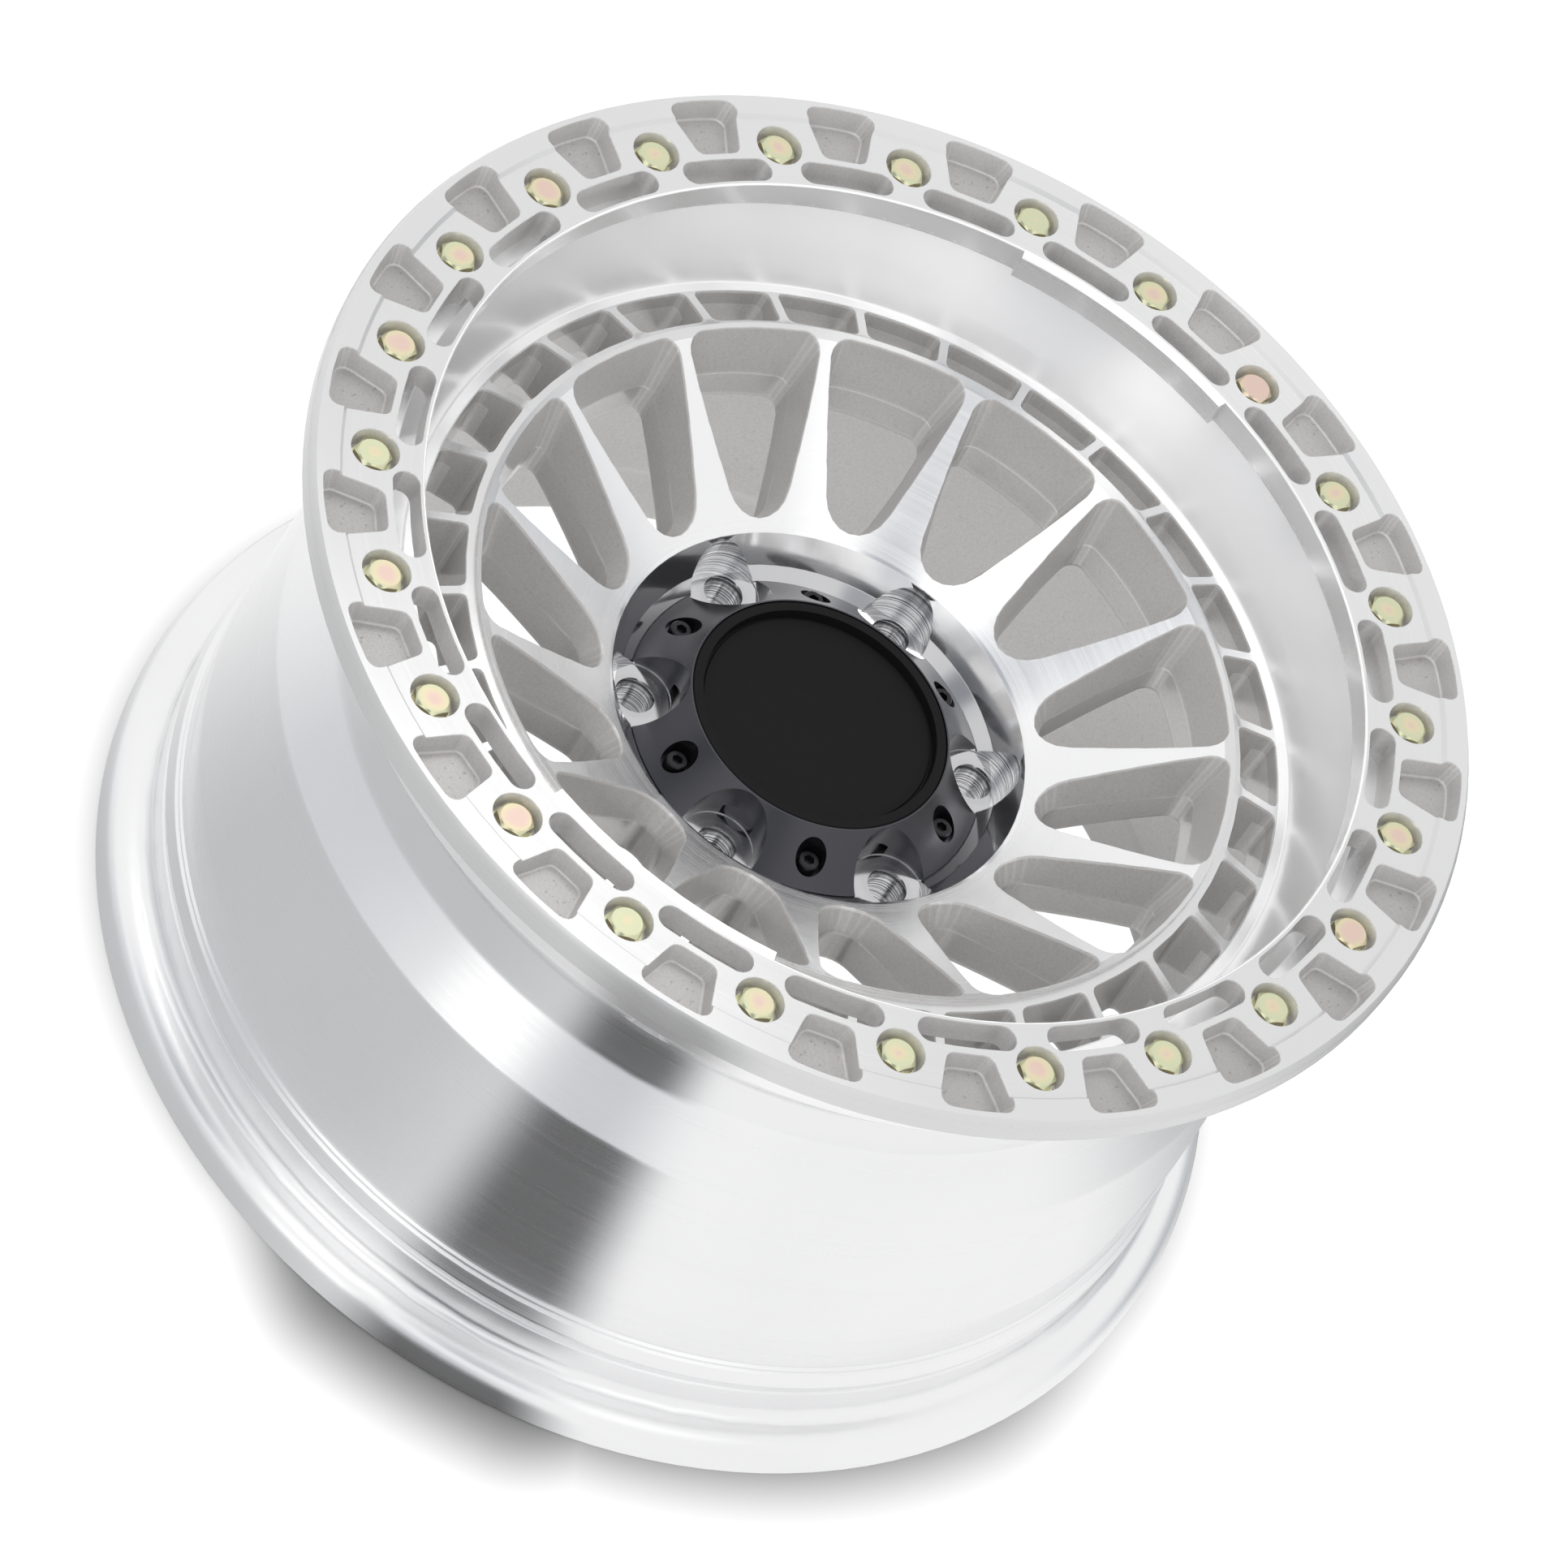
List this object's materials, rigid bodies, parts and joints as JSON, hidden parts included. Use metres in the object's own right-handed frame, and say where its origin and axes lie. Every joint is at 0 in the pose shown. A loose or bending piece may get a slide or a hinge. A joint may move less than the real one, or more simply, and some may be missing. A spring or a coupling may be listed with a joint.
{
  "type": "beadlock off-road wheel",
  "caption": "Deep-dish machined aluminium off-road wheel with a bolted beadlock ring, slim tapered spokes, a ring of small windows and a scalloped dark centre cap.",
  "frame": {"origin": "centre of the rear lip's resting plane, on the wheel's axis", "axes": "+Z along the wheel's axis towards its face; +X through the middle of one ring tab and a beadlock bolt"},
  "size_m": [0.4699, 0.47, 0.26],
  "materials": {
    "machined_aluminium": "machined and clear coated, with grey painted pockets",
    "ring_aluminium": "machined and clear coated, with grey painted pockets",
    "yellow_zinc": "yellow zinc plated",
    "washer_zinc": "yellow zinc plated",
    "satin_anthracite": "satin dark grey",
    "matt_black": "matt black",
    "black_steel": "black oxide"
  },
  "bodies": {
    "root": {"wheel_casting": "machined_aluminium", "beadlock_ring": "ring_aluminium", "beadlock_bolts": "yellow_zinc", "bolt_washers": "washer_zinc", "cap_skirt": "satin_anthracite", "cap_disc": "matt_black", "cap_screws": "black_steel"}
  },
  "joints": []
}
